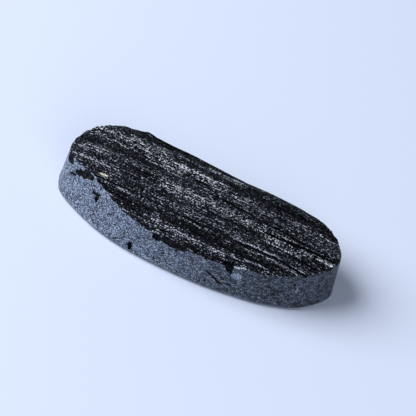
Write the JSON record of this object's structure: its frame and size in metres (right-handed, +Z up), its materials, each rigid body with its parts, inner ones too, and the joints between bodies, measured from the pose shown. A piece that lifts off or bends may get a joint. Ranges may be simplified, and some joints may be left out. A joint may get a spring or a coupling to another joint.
{
  "type": "raw black tourmaline slab",
  "caption": "Oblong slab of black tourmaline with a raw ribbed crystal face on top, a ground wall all round and a flat ground base.",
  "frame": {"origin": "on the flat base, under the middle of the stone's box", "axes": "+X along the ribs of the crystal face, +Y to the straighter back side, +Z up out of the base"},
  "size_m": [0.0406, 0.0174, 0.0075],
  "materials": {
    "tourmaline": "satin"
  },
  "bodies": {
    "root": {"tourmaline_crystal": "tourmaline"}
  },
  "joints": []
}
